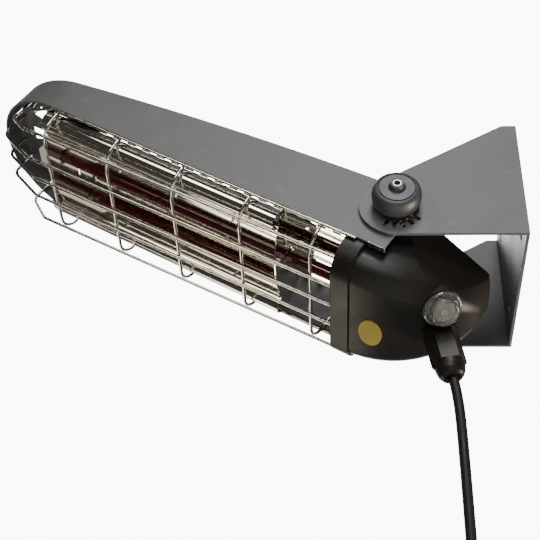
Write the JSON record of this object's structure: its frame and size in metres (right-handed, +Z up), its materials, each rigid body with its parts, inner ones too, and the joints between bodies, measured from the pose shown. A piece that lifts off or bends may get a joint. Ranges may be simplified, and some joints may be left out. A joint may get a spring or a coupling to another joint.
{
  "type": "wall halogen heater",
  "caption": "Wall halogen heater: tilting hood with ruby lamp, polished reflector and wire guard on a U bracket, with clamp knobs, booted switch, cable gland and cord.",
  "frame": {"origin": "centre of the wall bolts on the bracket's back face", "axes": "+Z up, +Y into the wall, +X along the tilt axis"},
  "size_m": [0.19, 0.4403, 0.6174],
  "materials": {
    "black_coat": "fine textured matt powder coat",
    "polished_metal": "mirror polished",
    "zinc_steel": "zinc plated",
    "ruby_glass": "ruby tinted quartz",
    "tungsten": "matt",
    "ceramic": "unglazed",
    "chrome_wire": "bright plated",
    "black_plastic": "satin moulded",
    "knob_plastic": "satin moulded",
    "switch_cap": "gloss",
    "clear_boot": "clear flexible",
    "yellow_badge": "gloss",
    "black_rubber": "matt",
    "white_plastic": "matt",
    "lead_sheath": "matt",
    "plug_brass": "nickel plated",
    "fibre": "matt"
  },
  "bodies": {
    "bracket": {"wall_bracket": "black_coat"},
    "head": {"back_panel": "black_coat", "bulkhead": "zinc_steel", "clamp_bolt_left": "zinc_steel", "clamp_bolt_right": "zinc_steel", "cord_coil": "black_rubber", "cord_tail": "black_rubber", "cord_tie": "black_rubber", "cover_screws": "zinc_steel", "friction_washer_left": "fibre", "friction_washer_right": "fibre", "gland_body": "black_plastic", "gland_locknut": "black_plastic", "gland_nut": "black_plastic", "gland_seal": "black_rubber", "guard_hoops": "chrome_wire", "guard_wires": "chrome_wire", "hood_band": "black_coat", "housing_collar": "black_plastic", "housing_cover": "black_plastic", "inner_leads": "lead_sheath", "lamp_caps": "ceramic", "lamp_filament": "tungsten", "lamp_holder_far": "ceramic", "lamp_holder_near": "ceramic", "lamp_tube": "ruby_glass", "oval_badge": "yellow_badge", "plug_body": "black_rubber", "plug_pins": "plug_brass", "rear_housing": "black_plastic", "reflector": "polished_metal", "reflector_end_far": "polished_metal", "reflector_end_near": "polished_metal", "reflector_posts": "zinc_steel", "side_screws": "zinc_steel", "supply_cord": "black_rubber", "switch_bezel": "black_plastic", "switch_body": "black_plastic", "switch_boot": "clear_boot", "terminal_block": "white_plastic"},
    "knob_left": {"clamp_knob_left": "knob_plastic", "knob_insert_left": "zinc_steel"},
    "knob_right": {"clamp_knob_right": "knob_plastic", "knob_insert_right": "zinc_steel"},
    "rocker": {"switch_rocker": "switch_cap"}
  },
  "joints": [
    {"name": "head_tilt", "type": "hinge", "parent": "bracket", "child": "head", "pos_m": [0, -0.0993, -0.0303], "axis": [-1, 0, 0], "range_deg": [-20, 40]},
    {"name": "knob_left_turn", "type": "hinge", "parent": "head", "child": "knob_left", "pos_m": [-0.079, -0.0993, -0.0303], "axis": [-1, 0, 0], "range_deg": [0, 270]},
    {"name": "knob_right_turn", "type": "hinge", "parent": "head", "child": "knob_right", "pos_m": [0.079, -0.0993, -0.0303], "axis": [1, 0, 0], "range_deg": [0, 270]},
    {"name": "switch_rock", "type": "hinge", "parent": "head", "child": "rocker", "pos_m": [0.02735, -0.06435, -0.09922], "axis": [0.81, -0.5847, 0.0451], "range_deg": [0, 14]}
  ]
}
